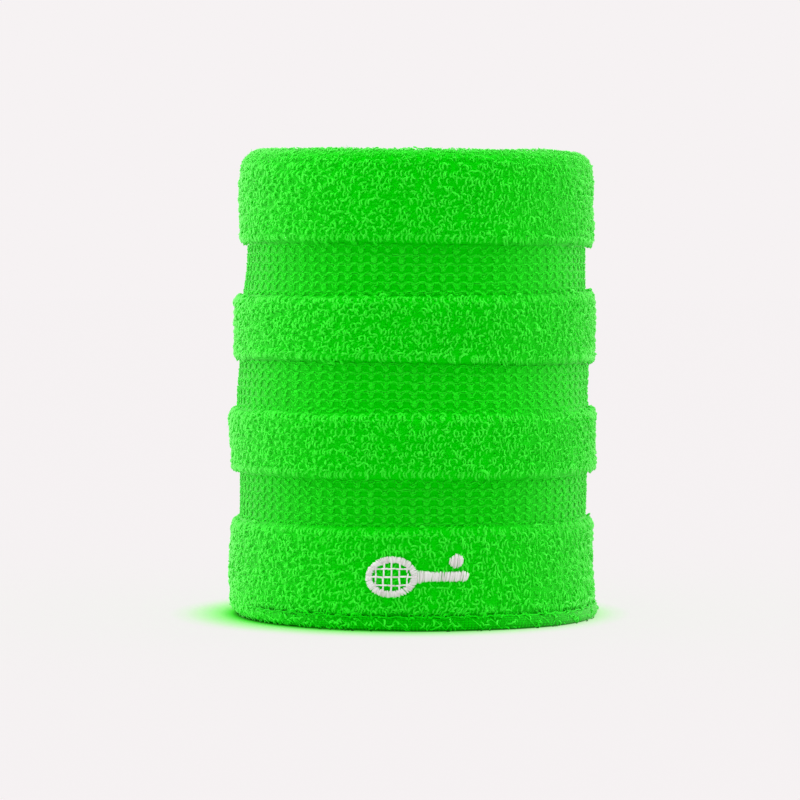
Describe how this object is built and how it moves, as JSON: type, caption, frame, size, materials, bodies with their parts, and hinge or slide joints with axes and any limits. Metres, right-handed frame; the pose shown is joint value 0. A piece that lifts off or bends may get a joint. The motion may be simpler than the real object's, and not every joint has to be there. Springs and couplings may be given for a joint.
{
  "type": "sweat wristband",
  "caption": "Double-layer knitted tube worn on the wrist, with raised terry zones between recessed elastic knit zones, a folded top, an overlocked bottom edge and a small embroidered racket.",
  "frame": {"origin": "middle of the bottom edge, on the axis of the tube", "axes": "+Z along the wrist from the closing seam to the top fold; -Y towards the front, which carries the embroidery; +X to the right of the front"},
  "size_m": [0.0644, 0.0644, 0.0808],
  "materials": {
    "terry": "looped cotton terry, neon green",
    "plain_knit": "plain elastic knit, neon green",
    "inner_terry": "looped cotton terry, neon green",
    "inner_plain_knit": "plain elastic knit, neon green",
    "elastic_yarn": "covered elastic yarn, neon green",
    "seam_edge": "cut knit edges under overlock stitches, neon green",
    "seam_thread": "bulked polyester sewing thread, neon green",
    "embroidery_thread": "white satin-stitch embroidery thread",
    "bobbin_thread": "white spun bobbin thread",
    "backing": "white non-woven backing"
  },
  "bodies": {
    "root": {"outer_terry_top": "terry", "outer_terry_upper": "terry", "outer_terry_lower": "terry", "outer_terry_bottom": "terry", "outer_knit_upper": "plain_knit", "outer_knit_middle": "plain_knit", "outer_knit_lower": "plain_knit", "top_fold": "terry", "inner_terry_top": "inner_terry", "inner_terry_upper": "inner_terry", "inner_terry_lower": "inner_terry", "inner_terry_bottom": "inner_terry", "inner_knit_upper": "inner_plain_knit", "inner_knit_middle": "inner_plain_knit", "inner_knit_lower": "inner_plain_knit", "outer_elastic_yarns": "elastic_yarn", "inner_elastic_yarns": "elastic_yarn", "closing_seam_lip": "seam_edge", "seam_needle_thread": "seam_thread", "seam_outer_looper_thread": "seam_thread", "seam_inner_looper_thread": "seam_thread", "motif_racket_head": "embroidery_thread", "motif_racket_strings": "embroidery_thread", "motif_racket_throat": "embroidery_thread", "motif_racket_handle": "embroidery_thread", "motif_ball": "embroidery_thread", "embroidery_bobbin_thread": "bobbin_thread", "embroidery_backing": "backing"}
  },
  "joints": []
}
